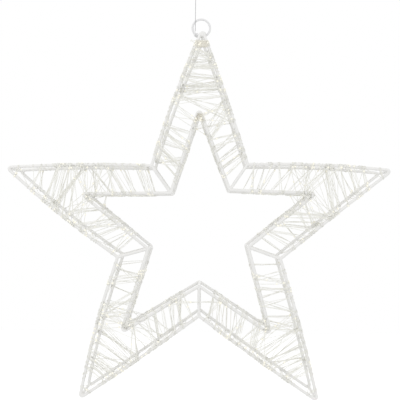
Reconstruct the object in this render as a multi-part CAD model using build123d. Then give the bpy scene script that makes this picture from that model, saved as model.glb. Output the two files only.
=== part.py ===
from build123d import *
import math
import os

# Open wire star with wound light wire, hung by a ring on a thread. All lengths are in millimetres.
# X runs to the right as seen from the front, Y to the back and Z up. The origin is the inside top of
# the thread's loop, where the loop bears on its hook.

# The star's frame: four outlines of bent rod, two in front and two behind, with cross rods between them
arm_count = 5
outer_tip_radius = 309.0
outer_valley_radius = 129.0
inner_tip_radius = 188.0
valley_strut_length = 50.0
frame_depth = 80.0
rod_diameter = 4.8
bend_radius = 3.0
cross_rod_diameter = 4.5

# Where the hand-bent corners lie off the even star, across and up, as shares of the outer tip radius.
# Each list goes clockwise from the top, tips from the top arm and valleys from the top arm's right.
outer_tip_shift_shares = [(0.003, -0.002), (-0.009, 0.006), (0.0, -0.008), (0.012, -0.01), (-0.003, 0.0)]
outer_valley_shift_shares = [(-0.012, -0.001), (0.002, 0.004), (0.003, 0.009), (-0.002, 0.003), (0.007, -0.013)]
inner_tip_shift_shares = [(-0.008, 0.003), (-0.006, 0.011), (-0.002, -0.002), (-0.019, -0.003), (-0.005, -0.005)]
inner_valley_shift_shares = [(-0.003, 0.003), (-0.002, 0.009), (0.002, -0.008), (-0.007, -0.005), (0.008, -0.015)]

# How far the hand-bent outer rods bow outwards midway from corner to corner, as shares of each run,
# clockwise from the top tip, and how much of each run its bow takes up
outer_bow_shares = [0.0105, 0.0245, -0.007, 0.014, 0.0105, 0.0105, 0.028, 0.028, 0.0175, 0.0245]
bow_reach_share = 0.7

# The light wire: one winding round the four rods of each arm's tip and one round each of its two limbs
wire_diameter = 0.8
wire_gap = 0.3
tip_turns = 12
limb_turns = 14
tip_winding_start = 18.0
tip_to_limb_winding_gap = 25.0
limb_winding_start = 14.0
limb_winding_stop = 10.0

# How far each pass of the hand-wound wire wanders along its rod, as shares of one turn's pitch
winding_wander_shares = [0.16, -0.2, 0.08, 0.24, -0.14, -0.04, 0.2, -0.24, 0.04, -0.1, 0.12]

# The light drops: clear resin moulded round the wire
drop_length = 3.6
drop_diameter = 2.6
drop_bore_gap = 0.05
drop_end_wall = 0.3
drop_side_count = 10
drop_ring_count = 5
drops_per_winding = 8
drop_place_shares = [0.31, 0.66, 0.45, 0.58, 0.37, 0.7, 0.52, 0.4]

# The hanging ring, threaded on the top cross rod just behind the front outline
ring_outer_diameter = 30.0
ring_wire_diameter = 3.2
ring_setback = 6.0
ring_lean = 1.5
ring_gap = 0.2

# The thread, tied round the ring's lower left, with a loop for the hook
thread_diameter = 1.0
thread_length = 58.0
thread_offset = 9.1
thread_gap = 0.3
knot_turns = 3
knot_pitch = 1.8
riser_length = 5.0
loop_knot_radius = 1.8
loop_inner_radius = 4.0
loop_leg_angle = 25.0

inner_valley_radius = outer_valley_radius - valley_strut_length
rod_radius = rod_diameter / 2
cross_rod_radius = cross_rod_diameter / 2
wire_radius = wire_diameter / 2
thread_radius = thread_diameter / 2
ring_wire_radius = ring_wire_diameter / 2
ring_centre_radius = ring_outer_diameter / 2 - ring_wire_radius
ring_inner_radius = ring_centre_radius - ring_wire_radius
corner_turn = 180 / arm_count
arm_names = ["top", "right", "lower_right", "lower_left", "left"]
valley_names = ["upper_right", "right_side", "bottom", "left_side", "upper_left"]


def star_corners(tip_radius, valley_radius, tip_shifts, valley_shifts):
    """The ten corners of an outline round its centre, clockwise from the top tip."""
    corners = []
    for arm in range(arm_count):
        for step, radius, shift in ((0, tip_radius, tip_shifts[arm]), (1, valley_radius, valley_shifts[arm])):
            turn = math.radians(corner_turn * (2 * arm + step))
            across = radius * math.sin(turn) + shift[0] * outer_tip_radius
            up = radius * math.cos(turn) + shift[1] * outer_tip_radius
            corners.append(Vector(across, 0, up))
    return corners


def run_middles(corners, bow_shares):
    """The points that draw each run's bow, midway from every corner to the next."""
    middles = []
    for index, corner in enumerate(corners):
        run = corners[(index + 1) % len(corners)] - corner
        middles.append(corner + run / 2 + Vector(-run.Z, 0, run.X) * bow_shares[index])
    return middles


def bow_radius(start, middle, end):
    """The radius that bends a run over its share of the way from corner to corner."""
    half_turn = math.radians((middle - start).get_angle(end - middle) / 2)
    half_run = min((middle - start).length, (end - middle).length)
    return bow_reach_share * half_run / math.tan(half_turn)


def bend_middle(corners, middles, index):
    """The middle of the rod's centreline in the bend at one corner."""
    corner = corners[index]
    before = (middles[index - 1] - corner).normalized()
    after = (middles[index] - corner).normalized()
    half_angle = math.radians(before.get_angle(after) / 2)
    inward = (before + after).normalized()
    return corner + inward * (bend_radius / math.sin(half_angle) - bend_radius)


outer_corners = star_corners(
    outer_tip_radius, outer_valley_radius, outer_tip_shift_shares, outer_valley_shift_shares
)
inner_corners = star_corners(
    inner_tip_radius, inner_valley_radius, inner_tip_shift_shares, inner_valley_shift_shares
)
outer_middles = run_middles(outer_corners, outer_bow_shares)
inner_middles = run_middles(inner_corners, [0] * len(inner_corners))

# Places, from the hook down: loop, thread, ring, top cross rod, star
loop_centre_radius = loop_inner_radius + thread_radius
loop_arc_height = loop_centre_radius / math.sin(math.radians(loop_leg_angle))
loop_knot_up = -(loop_arc_height + loop_inner_radius)
ring_crossing_drop = math.sqrt(ring_centre_radius**2 - thread_offset**2)
thread_front = ring_wire_radius + thread_gap + thread_radius
ring_centre = Vector(thread_offset, thread_front, loop_knot_up - thread_length + ring_crossing_drop)
ring_seat = ring_inner_radius - cross_rod_radius - ring_gap
top_rod_up = ring_centre.Z - math.sqrt(ring_seat**2 - ring_lean**2)
top_rod_across = ring_centre.X + ring_lean
front_depth = ring_centre.Y - ring_setback
back_depth = front_depth + frame_depth
top_bend = bend_middle(outer_corners, outer_middles, 0)
star_centre = Vector(top_rod_across - top_bend.X, (front_depth + back_depth) / 2, top_rod_up - top_bend.Z)


def place(corner, depth):
    """A point of the star's plane, moved to its place in the part at the given depth."""
    return Vector(star_centre.X + corner.X, depth, star_centre.Z + corner.Z)


def tube_along(path, radius):
    """A round solid that follows a path of straight runs and tangent arcs."""
    return sweep(Plane(path @ 0, z_dir=path % 0) * Circle(radius), path=path)


def outer_outline(depth):
    """One outer outline, its runs bowed, bent from a single rod and closed by a butt weld."""
    points, radii = [], []
    for index, corner in enumerate(outer_corners):
        middle = outer_middles[index]
        next_corner = outer_corners[(index + 1) % len(outer_corners)]
        points += [place(corner, depth), place(middle, depth)]
        radii += [bend_radius, bow_radius(corner, middle, next_corner)]
    return tube_along(FilletPolyline(*points, radius=radii, close=True), rod_radius)


def inner_outline(depth):
    """One inner outline, its runs straight, bent from a single rod and closed by a butt weld."""
    path = FilletPolyline(*[place(corner, depth) for corner in inner_corners], radius=bend_radius, close=True)
    return tube_along(path, rod_radius)


def cross_rod(start, end, neighbours):
    """A straight rod between two centrelines, its ends coped to the rods that it is welded to."""
    rod = Plane(start, z_dir=end - start) * Cylinder(
        cross_rod_radius, (end - start).length, align=(Align.CENTER, Align.CENTER, Align.MIN)
    )
    for neighbour in neighbours:
        rod = rod - neighbour
    return rod


nodes = {}
nodes["front_outer_outline"] = outer_outline(front_depth)
nodes["back_outer_outline"] = outer_outline(back_depth)
nodes["front_inner_outline"] = inner_outline(front_depth)
nodes["back_inner_outline"] = inner_outline(back_depth)
outer_bends = [bend_middle(outer_corners, outer_middles, index) for index in range(len(outer_corners))]
inner_bends = [bend_middle(inner_corners, inner_middles, index) for index in range(len(inner_corners))]


def spacer(bend, level):
    """A rod from front to back at one bend of the outer or the inner outlines."""
    ends = [nodes[f"front_{level}_outline"], nodes[f"back_{level}_outline"]]
    return cross_rod(place(bend, front_depth), place(bend, back_depth), ends)


for arm, arm_name in enumerate(arm_names):
    nodes[f"{arm_name}_tip_spacer"] = spacer(outer_bends[2 * arm], "outer")
    nodes[f"{arm_name}_inner_tip_spacer"] = spacer(inner_bends[2 * arm], "inner")

for valley, valley_name in enumerate(valley_names):
    outer_bend, inner_bend = outer_bends[2 * valley + 1], inner_bends[2 * valley + 1]
    outer_spacer = spacer(outer_bend, "outer")
    inner_spacer = spacer(inner_bend, "inner")
    nodes[f"{valley_name}_valley_spacer"] = outer_spacer
    nodes[f"{valley_name}_inner_valley_spacer"] = inner_spacer
    for side, depth in (("front", front_depth), ("back", back_depth)):
        ends = [nodes[f"{side}_outer_outline"], nodes[f"{side}_inner_outline"], outer_spacer, inner_spacer]
        strut = cross_rod(place(outer_bend, depth), place(inner_bend, depth), ends)
        nodes[f"{valley_name}_{side}_strut"] = strut

# A wire passes each rod at this distance from the rod's centreline, and turns round it with this radius
wrap_radius = rod_radius + wire_gap + wire_radius
wire_front_depth = front_depth - wrap_radius
wire_back_depth = back_depth + wrap_radius


def winding_route(first_rod, second_rod, turns):
    """The corners of a wire wound from the front of the first rod round both pairs of rods.

    Each rod is its centreline, the distances along it between which it is wound, and a point inside the
    winding, in the star's plane.
    """
    corner_count = 4 * turns
    points = []
    for index in range(corner_count + 1):
        quarter = index % 4
        centreline, start_distance, stop_distance, inside_point = (
            first_rod if quarter in (0, 3) else second_rod
        )
        depth = wire_front_depth if quarter in (0, 1) else wire_back_depth
        at_an_end = index in (0, corner_count)
        wander = 0 if at_an_end else winding_wander_shares[index % len(winding_wander_shares)]
        passed_share = (index + 4 * wander) / corner_count
        share = (start_distance + (stop_distance - start_distance) * passed_share) / centreline.length
        rod_point, along = centreline @ share, centreline % share
        beside = inside_point - rod_point
        outward = (along * beside.dot(along) - beside).normalized()
        reach = wire_diameter if index == 0 else wrap_radius
        points.append(place(rod_point + outward * reach, depth))
        if index == corner_count:
            points.append(place(rod_point - outward * wire_diameter, depth))
    return points


def least_gap(points, diameter):
    """The smallest clear distance between a wound wire's runs, measured on points along them."""
    sample_count = 8
    samples = []
    for index in range(len(points) - 1):
        step = points[index + 1] - points[index]
        run = [points[index] + step * (number / sample_count) for number in range(sample_count + 1)]
        samples.append(run)
    gaps = []
    for index, run in enumerate(samples):
        for other in samples[index + 2 : index + 6]:
            gaps += [(one - two).length for one in run for two in other]
    return min(gaps) - diameter


def winding(points):
    return tube_along(FilletPolyline(*points, radius=wrap_radius), wire_radius)


# A drop's outer face is flats between rings of corners, from end to end
drop_bore_radius = wire_radius + drop_bore_gap
drop_end_radius = drop_bore_radius + drop_end_wall
drop_rings = []
for ring_number in range(drop_ring_count):
    up_share = 2 * ring_number / (drop_ring_count - 1) - 1
    swell = math.sqrt(1 - up_share**2)
    radius = drop_end_radius + (drop_diameter / 2 - drop_end_radius) * swell
    ring_plane = Plane.XY.offset(up_share * drop_length / 2)
    drop_rings.append(ring_plane * RegularPolygon(radius, drop_side_count, major_radius=False))
drop_bore = extrude(
    Plane.XY * RegularPolygon(drop_bore_radius, drop_side_count, major_radius=False),
    drop_length,
    both=True,
)
light_drop = loft(drop_rings, ruled=True) - drop_bore


def drops_on(points):
    """Light drops on every few of a winding's front and back runs, front and back by turns."""
    turns = len(points) // 4
    drops = []
    for number in range(drops_per_winding):
        turn = (number * turns) // drops_per_winding
        run = 4 * turn + 2 * (number % 2)
        start, end = points[run], points[run + 1]
        share = drop_place_shares[number % len(drop_place_shares)]
        drops.append(Plane(start + (end - start) * share, z_dir=end - start) * light_drop)
    return drops


winding_gaps = {}
for arm, arm_name in enumerate(arm_names):
    tip = outer_corners[2 * arm]
    inner_tip = inner_corners[2 * arm]
    arm_drops = []
    tip_rods = []

    for side, corner_index in (("left", 2 * arm - 1), ("right", 2 * arm + 1)):
        valley = outer_corners[corner_index]
        middle = outer_middles[min(2 * arm, corner_index)]
        outer_line = FilletPolyline(tip, middle, valley, radius=[bow_radius(tip, middle, valley)])
        inner_line = Line(inner_tip, inner_corners[corner_index])
        inner_stop = inner_line.length - limb_winding_stop
        inner_start_point = inner_line @ (limb_winding_start / inner_line.length)
        outer_start = (inner_start_point - tip).dot((valley - tip).normalized())
        outer_rod = (outer_line, outer_start, outer_line.length - limb_winding_stop, inner_tip)
        inner_rod = (inner_line, limb_winding_start, inner_stop, valley)
        tip_stop = outer_start - tip_to_limb_winding_gap
        tip_rods.append((outer_line, tip_winding_start, tip_stop, inner_tip))
        limb_route = winding_route(outer_rod, inner_rod, limb_turns)
        node = f"{arm_name}_{side}_limb_winding"
        nodes[node] = winding(limb_route)
        winding_gaps[node] = least_gap(limb_route, wire_diameter)
        arm_drops += drops_on(limb_route)

    tip_route = winding_route(tip_rods[0], tip_rods[1], tip_turns)
    node = f"{arm_name}_tip_winding"
    nodes[node] = winding(tip_route)
    winding_gaps[node] = least_gap(tip_route, wire_diameter)
    arm_drops += drops_on(tip_route)

    nodes[f"{arm_name}_light_drops"] = Compound(children=arm_drops)

nodes["hanging_ring"] = Pos(ring_centre) * Rot(90, 0, 0) * Torus(ring_centre_radius, ring_wire_radius)

# The knot is wound round the ring's wire where the thread crosses it, then rises to meet the thread
crossing_angle = math.atan2(-ring_crossing_drop, -thread_offset)


def beside_ring(along, outward, behind):
    """A point by the ring's wire: how far along from the thread's crossing, out of the ring and behind it."""
    angle = crossing_angle + along / ring_centre_radius
    radius = ring_centre_radius + outward
    return ring_centre + Vector(radius * math.cos(angle), behind, radius * math.sin(angle))


knot_reach = thread_front
knot_length = knot_turns * knot_pitch
knot_route = [beside_ring(knot_length, thread_diameter, -knot_reach)]
quarters = [(-1, -1), (-1, 1), (1, 1), (1, -1)]
for index in range(4 * knot_turns):
    outward_sign, behind_sign = quarters[index % 4]
    along = knot_length * (1 - (index + 1) / (4 * knot_turns))
    knot_route.append(beside_ring(along, knot_reach * outward_sign, knot_reach * behind_sign))
riser_foot = beside_ring(0, 0, -knot_reach)
thread_foot = riser_foot + Vector(0, 0, riser_length)
knot_route += [riser_foot, thread_foot]
knot_corner_radii = [ring_wire_radius + thread_gap] * (len(knot_route) - 3) + [thread_diameter]
nodes["ring_knot"] = tube_along(FilletPolyline(*knot_route, radius=knot_corner_radii), thread_radius)
winding_gaps["ring_knot"] = least_gap(knot_route, thread_diameter)

loop_knot_centre = Vector(0, 0, loop_knot_up)
loop_knot = Pos(loop_knot_centre) * Sphere(loop_knot_radius)
thread_run = loop_knot_centre.Z - thread_foot.Z
thread = Plane(thread_foot, z_dir=(0, 0, 1)) * Cylinder(
    thread_radius, thread_run, align=(Align.CENTER, Align.CENTER, Align.MIN)
)
nodes["hanging_thread"] = thread - loop_knot
nodes["loop_knot"] = loop_knot

leg_angle = math.radians(loop_leg_angle)
leg_out = Vector(math.sin(leg_angle), 0, math.cos(leg_angle))
leg_in = Vector(-leg_out.X, 0, leg_out.Z)
arc_centre = loop_knot_centre + Vector(0, 0, loop_arc_height)
leg_start_distance = loop_knot_radius - thread_radius / 2
leg_end_distance = math.sqrt(loop_arc_height**2 - loop_centre_radius**2)
arc_top = arc_centre + Vector(0, 0, loop_centre_radius)
arc_right = loop_knot_centre + leg_out * leg_end_distance
arc_left = loop_knot_centre + leg_in * leg_end_distance
right_leg = Line(loop_knot_centre + leg_out * leg_start_distance, arc_right)
right_arc = TangentArc(arc_right, arc_top, tangent=leg_out)
left_arc = TangentArc(arc_top, arc_left, tangent=(-1, 0, 0))
left_leg = Line(arc_left, loop_knot_centre + leg_in * leg_start_distance)
loop_path = Wire([right_leg, right_arc, left_arc, left_leg])
nodes["thread_loop"] = tube_along(loop_path, thread_radius) - loop_knot

print("star centre", star_centre)
print("ring centre", ring_centre, "top cross rod", top_rod_across, top_rod_up)
print("thread from", thread_foot, "to", loop_knot_centre, "loop arc radius", loop_centre_radius)
print("knot corner radii", knot_corner_radii)
for name, gap in winding_gaps.items():
    print("least gap in", name, round(gap, 2))

os.makedirs("parts", exist_ok=True)
for name, solid in nodes.items():
    export_step(solid, f"parts/{name}.step")
print(len(nodes), "nodes")
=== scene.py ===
import math
import random

import bmesh
import bpy
import numpy as np
from mathutils import Matrix, Vector, noise


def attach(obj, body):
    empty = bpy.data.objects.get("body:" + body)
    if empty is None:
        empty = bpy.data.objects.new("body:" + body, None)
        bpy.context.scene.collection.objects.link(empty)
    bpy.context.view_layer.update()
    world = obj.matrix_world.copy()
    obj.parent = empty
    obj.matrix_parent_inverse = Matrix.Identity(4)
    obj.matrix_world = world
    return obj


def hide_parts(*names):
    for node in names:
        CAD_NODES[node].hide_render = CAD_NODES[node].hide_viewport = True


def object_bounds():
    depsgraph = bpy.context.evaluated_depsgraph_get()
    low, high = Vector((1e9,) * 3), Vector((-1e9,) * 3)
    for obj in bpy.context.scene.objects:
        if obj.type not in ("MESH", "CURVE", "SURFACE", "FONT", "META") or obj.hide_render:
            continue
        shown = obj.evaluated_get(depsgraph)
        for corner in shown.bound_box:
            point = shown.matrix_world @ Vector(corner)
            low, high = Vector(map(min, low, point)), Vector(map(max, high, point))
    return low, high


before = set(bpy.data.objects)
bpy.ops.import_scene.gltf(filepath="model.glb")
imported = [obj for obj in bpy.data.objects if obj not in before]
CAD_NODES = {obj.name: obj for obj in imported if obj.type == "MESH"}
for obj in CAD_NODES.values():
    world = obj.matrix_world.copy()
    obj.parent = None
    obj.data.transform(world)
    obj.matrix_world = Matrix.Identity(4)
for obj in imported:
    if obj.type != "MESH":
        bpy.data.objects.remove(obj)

bl_info = {
    "name": "Wire star",
    "version": (1, 0, 0),
    "blender": (4, 5, 0),
    "location": "View3D > Sidebar > Wire star",
    "description": "Dresses a white wire star: powder coat, welds, wound light wire, light drops, ring and thread",
    "category": "Object",
}

CAD_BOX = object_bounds()

# A millimetre, in metres
MM = 0.001

# The star's plan, in metres, as the solids have it: X to the right, Y to the back, Z up
ARMS = ("top", "right", "lower_right", "lower_left", "left")
CORNERS = 2 * len(ARMS)
STAR_CENTRE = Vector((0.00976904, 0.0364, -0.375227))
FRONT_DEPTH = -0.0036
BACK_DEPTH = 0.0764
OUTER_TIP_RADIUS = 0.309
OUTER_VALLEY_RADIUS = 0.129
INNER_TIP_RADIUS = 0.188
INNER_VALLEY_RADIUS = 0.079
ROD_RADIUS = 0.0024
BEND_RADIUS = 0.003

# How far to the right and up the hand-bent corners stray, as shares of OUTER_TIP_RADIUS
OUTER_TIP_SHIFTS = ((0.003, -0.002), (-0.009, 0.006), (0.0, -0.008), (0.012, -0.01), (-0.003, 0.0))
OUTER_VALLEY_SHIFTS = ((-0.012, -0.001), (0.002, 0.004), (0.003, 0.009), (-0.002, 0.003), (0.007, -0.013))
INNER_TIP_SHIFTS = ((-0.008, 0.003), (-0.006, 0.011), (-0.002, -0.002), (-0.019, -0.003), (-0.005, -0.005))
INNER_VALLEY_SHIFTS = ((-0.003, 0.003), (-0.002, 0.009), (0.002, -0.008), (-0.007, -0.005), (0.008, -0.015))

# How far the outer rods bow out, as shares of their runs, and how much of each half run the bow takes
OUTER_BOWS = (0.0105, 0.0245, -0.007, 0.014, 0.0105, 0.0105, 0.028, 0.028, 0.0175, 0.0245)
BOW_REACH = 0.7
BOW_STEPS = 24

# The ring and the thread, in metres, as the solids have them
RING_CENTRE = Vector((0.0091, 0.0024, -0.0628117))
RING_CENTRE_RADIUS = 0.0134
THREAD_OFFSET = 0.0091
KNOT_TURNS = 3
KNOT_PITCH = 0.0018
KNOT_REACH = 0.0024
RISER_LENGTH = 0.005
LOOP_KNOT_UP = -0.0146479

# The loop's centreline, to the right and up, in millimetres
THREAD_LOOP = (
    (0.4, -14.0), (2.5, -9.3), (4.5, -5.4), (4.7, -1.7), (2.7, 0.5),
    (-2.7, 0.5), (-4.7, -1.7), (-4.5, -5.4), (-2.5, -9.3), (-0.4, -14.0),
)

# The hitch in front of the ring's knot, in metres: along the ring, outward from it and to the back
HITCH = (
    (-0.0008, -0.0016, -0.0027), (0.0012, 0.0004, -0.0029), (0.0006, 0.0024, -0.0027),
    (-0.0012, 0.0014, -0.0025), (-0.0014, -0.0006, -0.0027), (0.0004, -0.0022, -0.0028),
    (0.0022, -0.0030, -0.0025), (0.0034, -0.0044, -0.0018),
)

# The thread's form: the shares of its thickness that it keeps in the tight knots, the loop knot's scale, how far
# its ends lie straight, its sides, and the length of one turn of its twist
HITCH_SHARE = 0.9
LOOP_KNOT_SHARE = 0.95
LOOP_KNOT_SIZE = 0.00046
STRAIGHT_END = 0.006
THREAD_SIDES = 12
LOOP_KNOT_SIDES = 10
THREAD_TWIST = 0.0026

# Weld beads: how far they lie beside the bends and inwards in depth, how flat and uneven they are, and the larger
# one under the apex
BEAD_SHIFT = 0.0013
BEAD_LEAN = 0.0011
BEAD_FLATNESS = 0.8
BEAD_STRETCH = (0.88, 1.04)
BEAD_LUMPINESS = 0.16
BEAD_GRAIN = 1.7
APEX_WELD_PLACE = (0.0012, FRONT_DEPTH, -0.0066)
APEX_WELD_SIZE = (0.0052, 0.0028, 0.0046)

# The camera's place, and how far it is turned to the left, tilted up and rolled, in degrees
CAMERA_PLACE = (0.0228, -1.1571, -0.3483)
CAMERA_TURN, CAMERA_TILT, CAMERA_ROLL = 0.617, 1.101, 0.688

# Soft round lamps: place, width and share of the key lamp's power
LAMPS = {
    "key_lamp": ((-0.9, -1.3, 0.75), 1.1, 1.0),
    "fill_lamp": ((1.2, -1.1, 0.1), 1.3, 0.35),
    "back_lamp": ((0.3, 1.4, 0.6), 1.2, 0.4),
}
FLOOR_HALF = 4.0
WHITE = (1.0, 1.0, 1.0, 1.0)


# Settings


def colour_setting(name, description, default):
    """A colour that a user can change."""
    return bpy.props.FloatVectorProperty(
        name=name, description=description, default=default, subtype="COLOR", size=3, min=0.0, max=1.0,
    )


class StarCoatSettings(bpy.types.PropertyGroup):
    """The powder coat of the rods and the ring."""

    colour: colour_setting(
        name="Coat colour", description="Colour of the white powder coat", default=(0.834, 0.83, 0.815),
    )
    ring_colour: colour_setting(
        name="Ring colour", description="Colour of the paler hanging ring", default=(0.78, 0.78, 0.785),
    )
    roughness: bpy.props.FloatProperty(
        name="Coat roughness", description="Roughness of the satin coat", subtype="FACTOR",
        min=0.0, max=1.0, default=0.42,
    )
    bead_radius: bpy.props.FloatProperty(
        name="Weld bead radius", description="Radius of the weld bead at each joint", unit="LENGTH",
        min=0.0005, max=0.004, default=0.0031,
    )


class StarWireSettings(bpy.types.PropertyGroup):
    """The light wire that is wound over the frame."""

    diameter: bpy.props.FloatProperty(
        name="Wire diameter", description="Diameter of the twisted light wire", unit="LENGTH",
        min=0.0003, max=0.002, default=0.0008,
    )
    colour: colour_setting(
        name="Wire colour", description="Colour of the lacquered silvery wire", default=(0.91, 0.905, 0.85),
    )
    bound_colour: colour_setting(
        name="Binding colour", description="Colour of the amber varnish on the two bindings of the top arm",
        default=(0.80, 0.74, 0.60),
    )
    roughness: bpy.props.FloatProperty(
        name="Wire roughness", description="Roughness of the wire's lacquer", subtype="FACTOR",
        min=0.0, max=1.0, default=0.38,
    )
    wander: bpy.props.FloatProperty(
        name="Wander", description="How far the passes stray from their noted places: 0 lays each pass on the last",
        subtype="FACTOR", min=0.0, max=3.0, default=0.95,
    )
    seed: bpy.props.IntProperty(
        name="Winding seed", description="Picks the way in which the wire was wound", min=0, default=7,
    )


class StarDropSettings(bpy.types.PropertyGroup):
    """The light drops on the wire."""

    length: bpy.props.FloatProperty(
        name="Drop length", description="Length of a light drop along its wire", unit="LENGTH",
        min=0.001, max=0.01, default=0.0040,
    )
    diameter: bpy.props.FloatProperty(
        name="Drop diameter", description="Thickness of a light drop", unit="LENGTH",
        min=0.001, max=0.01, default=0.0028,
    )
    resin_colour: colour_setting(
        name="Resin colour", description="Colour of the clear warm resin", default=(0.93, 0.915, 0.83),
    )
    lamp_colour: colour_setting(
        name="Lamp colour", description="Colour of the small lamp inside", default=(0.92, 0.87, 0.72),
    )
    per_wire: bpy.props.IntProperty(
        name="Drops per wire", description="The most light drops that lie singly on each wire of a winding",
        min=1, default=18,
    )


class StarThreadSettings(bpy.types.PropertyGroup):
    """The hanging thread with its knots and loop."""

    diameter: bpy.props.FloatProperty(
        name="Thread diameter", description="Diameter of the twisted thread", unit="LENGTH",
        min=0.0003, max=0.003, default=0.001,
    )
    colour: colour_setting(
        name="Thread colour", description="Colour of the pale thread", default=(0.5, 0.5, 0.51),
    )
    # Painted light: the knots get a paler colour than the thread to offset the shade that they cast on themselves.
    knot_lightened_colour: colour_setting(
        name="Knot colour", description="Colour of the thread in its knots", default=(0.88, 0.88, 0.89),
    )


class StarStageSettings(bpy.types.PropertyGroup):
    """The floor, lamps and camera."""

    floor_height: bpy.props.FloatProperty(
        name="Floor height", description="Height of the pale floor under the star", unit="LENGTH",
        default=-1.15,
    )
    floor_colour: colour_setting(
        name="Floor colour", description="Colour of the floor", default=(0.9, 0.9, 0.9),
    )
    room_light: bpy.props.FloatProperty(
        name="Room light", description="Strength of the even light from all sides", min=0.0, default=0.85,
    )
    key_power: bpy.props.FloatProperty(
        name="Key lamp power", description="Power of the soft lamp above the front left", subtype="POWER",
        min=0.0, default=6.0,
    )
    lens: bpy.props.FloatProperty(
        name="Lens", description="Focal length of the camera, in millimetres", min=1.0, default=68.42,
    )


# Shader sums


def both_ways(operation):
    """An operator on a shade and its reflected form, so that 1 - mask works."""

    def forward(self, other):
        return self.sum(operation, self, other)

    def reflected(self, other):
        return self.sum(operation, other, self)

    return forward, reflected


class Shade:
    """A shader socket that takes part in sums. Each sum adds its Math node."""

    def __init__(self, finish, socket):
        self.finish = finish
        self.socket = socket

    def sum(self, operation, first, second=None):
        values = {0: first} if second is None else {0: first, 1: second}
        return self.finish.node("ShaderNodeMath", {"operation": operation}, values)

    __add__, __radd__ = both_ways("ADD")
    __sub__, __rsub__ = both_ways("SUBTRACT")
    __mul__, __rmul__ = both_ways("MULTIPLY")
    __truediv__, __rtruediv__ = both_ways("DIVIDE")
    __pow__, __rpow__ = both_ways("POWER")

    def sine(self):
        return self.sum("SINE", self)

    def held(self):
        """The value kept between 0 and 1."""
        return self.finish.node("ShaderNodeClamp", {}, {0: self})

    def part(self, name):
        """Another output of the same node."""
        return Shade(self.finish, self.socket.node.outputs[name])


class Finish:
    """A material, or the world, built from nodes."""

    def __init__(self, name, owner=None):
        self.owner = owner or bpy.data.materials.new(name)
        self.owner.use_nodes = True
        self.tree = self.owner.node_tree
        self.tree.nodes.clear()

    def node(self, kind, settings=None, values=None, output=0):
        """Adds one node: its type, its settings, which are set first, and the values or links of its sockets."""
        node = self.tree.nodes.new(kind)
        for name, value in (settings or {}).items():
            setattr(node, name, value)
        for name, value in (values or {}).items():
            socket = node.inputs[name]
            if isinstance(value, Shade):
                self.tree.links.new(value.socket, socket)
            else:
                socket.default_value = value
        return Shade(self, node.outputs[output]) if len(node.outputs) else node

    def place(self):
        """The point on the object, in metres."""
        return self.node("ShaderNodeTexCoord", output="Object")

    def run(self):
        """How far along its run a point of a tube or a drop lies, with how far round it as the part Y."""
        return self.node("ShaderNodeSeparateXYZ", {}, {0: self.node("ShaderNodeUVMap", {"uv_map": "run"})})

    def twist(self, crests):
        """The lay of a twist, from 0 in the groove to 1 on the crest, with so many crests in one turn of it."""
        run = self.run()
        return (run * (2 * math.pi * crests) + run.part("Y") * (4 * math.pi)).sine() * 0.5 + 0.5

    def seen(self):
        """1 for what the camera sees straight, in a mirror or through glass, and otherwise 0."""
        path = self.node("ShaderNodeLightPath", output="Is Camera Ray")
        return (path + path.part("Is Glossy Ray") + path.part("Is Transmission Ray")).held()

    def cloud(self, vector, scale, detail):
        return self.node(
            "ShaderNodeTexNoise", {}, {"Vector": vector, "Scale": scale, "Detail": detail}, "Fac"
        )

    def blend(self, share, first, second):
        """A colour between two colours."""
        settings = {"data_type": "RGBA", "clamp_factor": True}
        values = {0: share, 6: as_colour(first), 7: as_colour(second)}
        return self.node("ShaderNodeMix", settings, values, 2)

    def bump(self, height, distance, strength):
        values = {"Height": height, "Distance": distance, "Strength": strength}
        return self.node("ShaderNodeBump", {}, values)

    def surface(self, shader, output="ShaderNodeOutputMaterial"):
        self.node(output, {}, {"Surface": shader})
        return self.owner

    def dressed(self, values):
        """The material with one Principled shader that takes these values."""
        return self.surface(self.node("ShaderNodeBsdfPrincipled", {}, values))


def as_colour(value):
    return value if isinstance(value, Shade) else (*value, 1.0)


def shaded(colour, factor):
    return tuple(min(1.0, part * factor) for part in colour)


def powder_coat(name, tint, roughness):
    """White powder coat: fine orange peel, faint clouding and a duller film where it lies thick."""
    finish = Finish(name)
    place = finish.place()
    clouding = finish.cloud(place, scale=55.0, detail=3.0)
    peel = finish.cloud(place, scale=1500.0, detail=2.0)
    specks = finish.cloud(place, scale=620.0, detail=1.0)
    return finish.dressed({
        "Base Color": finish.blend(clouding, shaded(tint, 0.95), shaded(tint, 1.04)),
        "Roughness": (roughness + (clouding - 0.5) * 0.22 + (specks - 0.5) * 0.12).held(),
        "Normal": finish.bump(peel + specks * 0.5, distance=0.00009, strength=0.5),
        "IOR": 1.5,
    })


def light_wire_finish(settings):
    """Two silvery lacquered wires twisted together, with painted shade in the groove between them and amber varnish
    on the two bindings.
    """
    finish = Finish("silvery_light_wire")
    groove = finish.twist(1)
    place = finish.place()
    tarnish = finish.cloud(place, scale=70.0, detail=3.0)
    lacquer = finish.blend(tarnish, shaded(settings.colour, 0.92), shaded(settings.colour, 1.08))
    # Painted shade: the colour is darker in the groove between the two twisted wires, where shade falls.
    colour = finish.blend(groove ** 0.6, shaded(settings.colour, 0.86), lacquer)
    for centre, strength in BINDINGS:
        ends = {0: place, 1: tuple(centre)}
        away = finish.node("ShaderNodeVectorMath", {"operation": "DISTANCE"}, ends, "Value")
        varnish = ((1.0 - away / BINDING_REACH) * BINDING_EDGE).held() * (strength + (tarnish - 0.5) * 0.4)
        colour = finish.blend(varnish, colour, settings.bound_colour)
    return finish.dressed({
        "Base Color": colour,
        "Roughness": (settings.roughness + (tarnish - 0.5) * 0.3).held(),
        "Metallic": 0.1,
        "Normal": finish.bump(groove, distance=0.00012, strength=0.7),
    })


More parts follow.
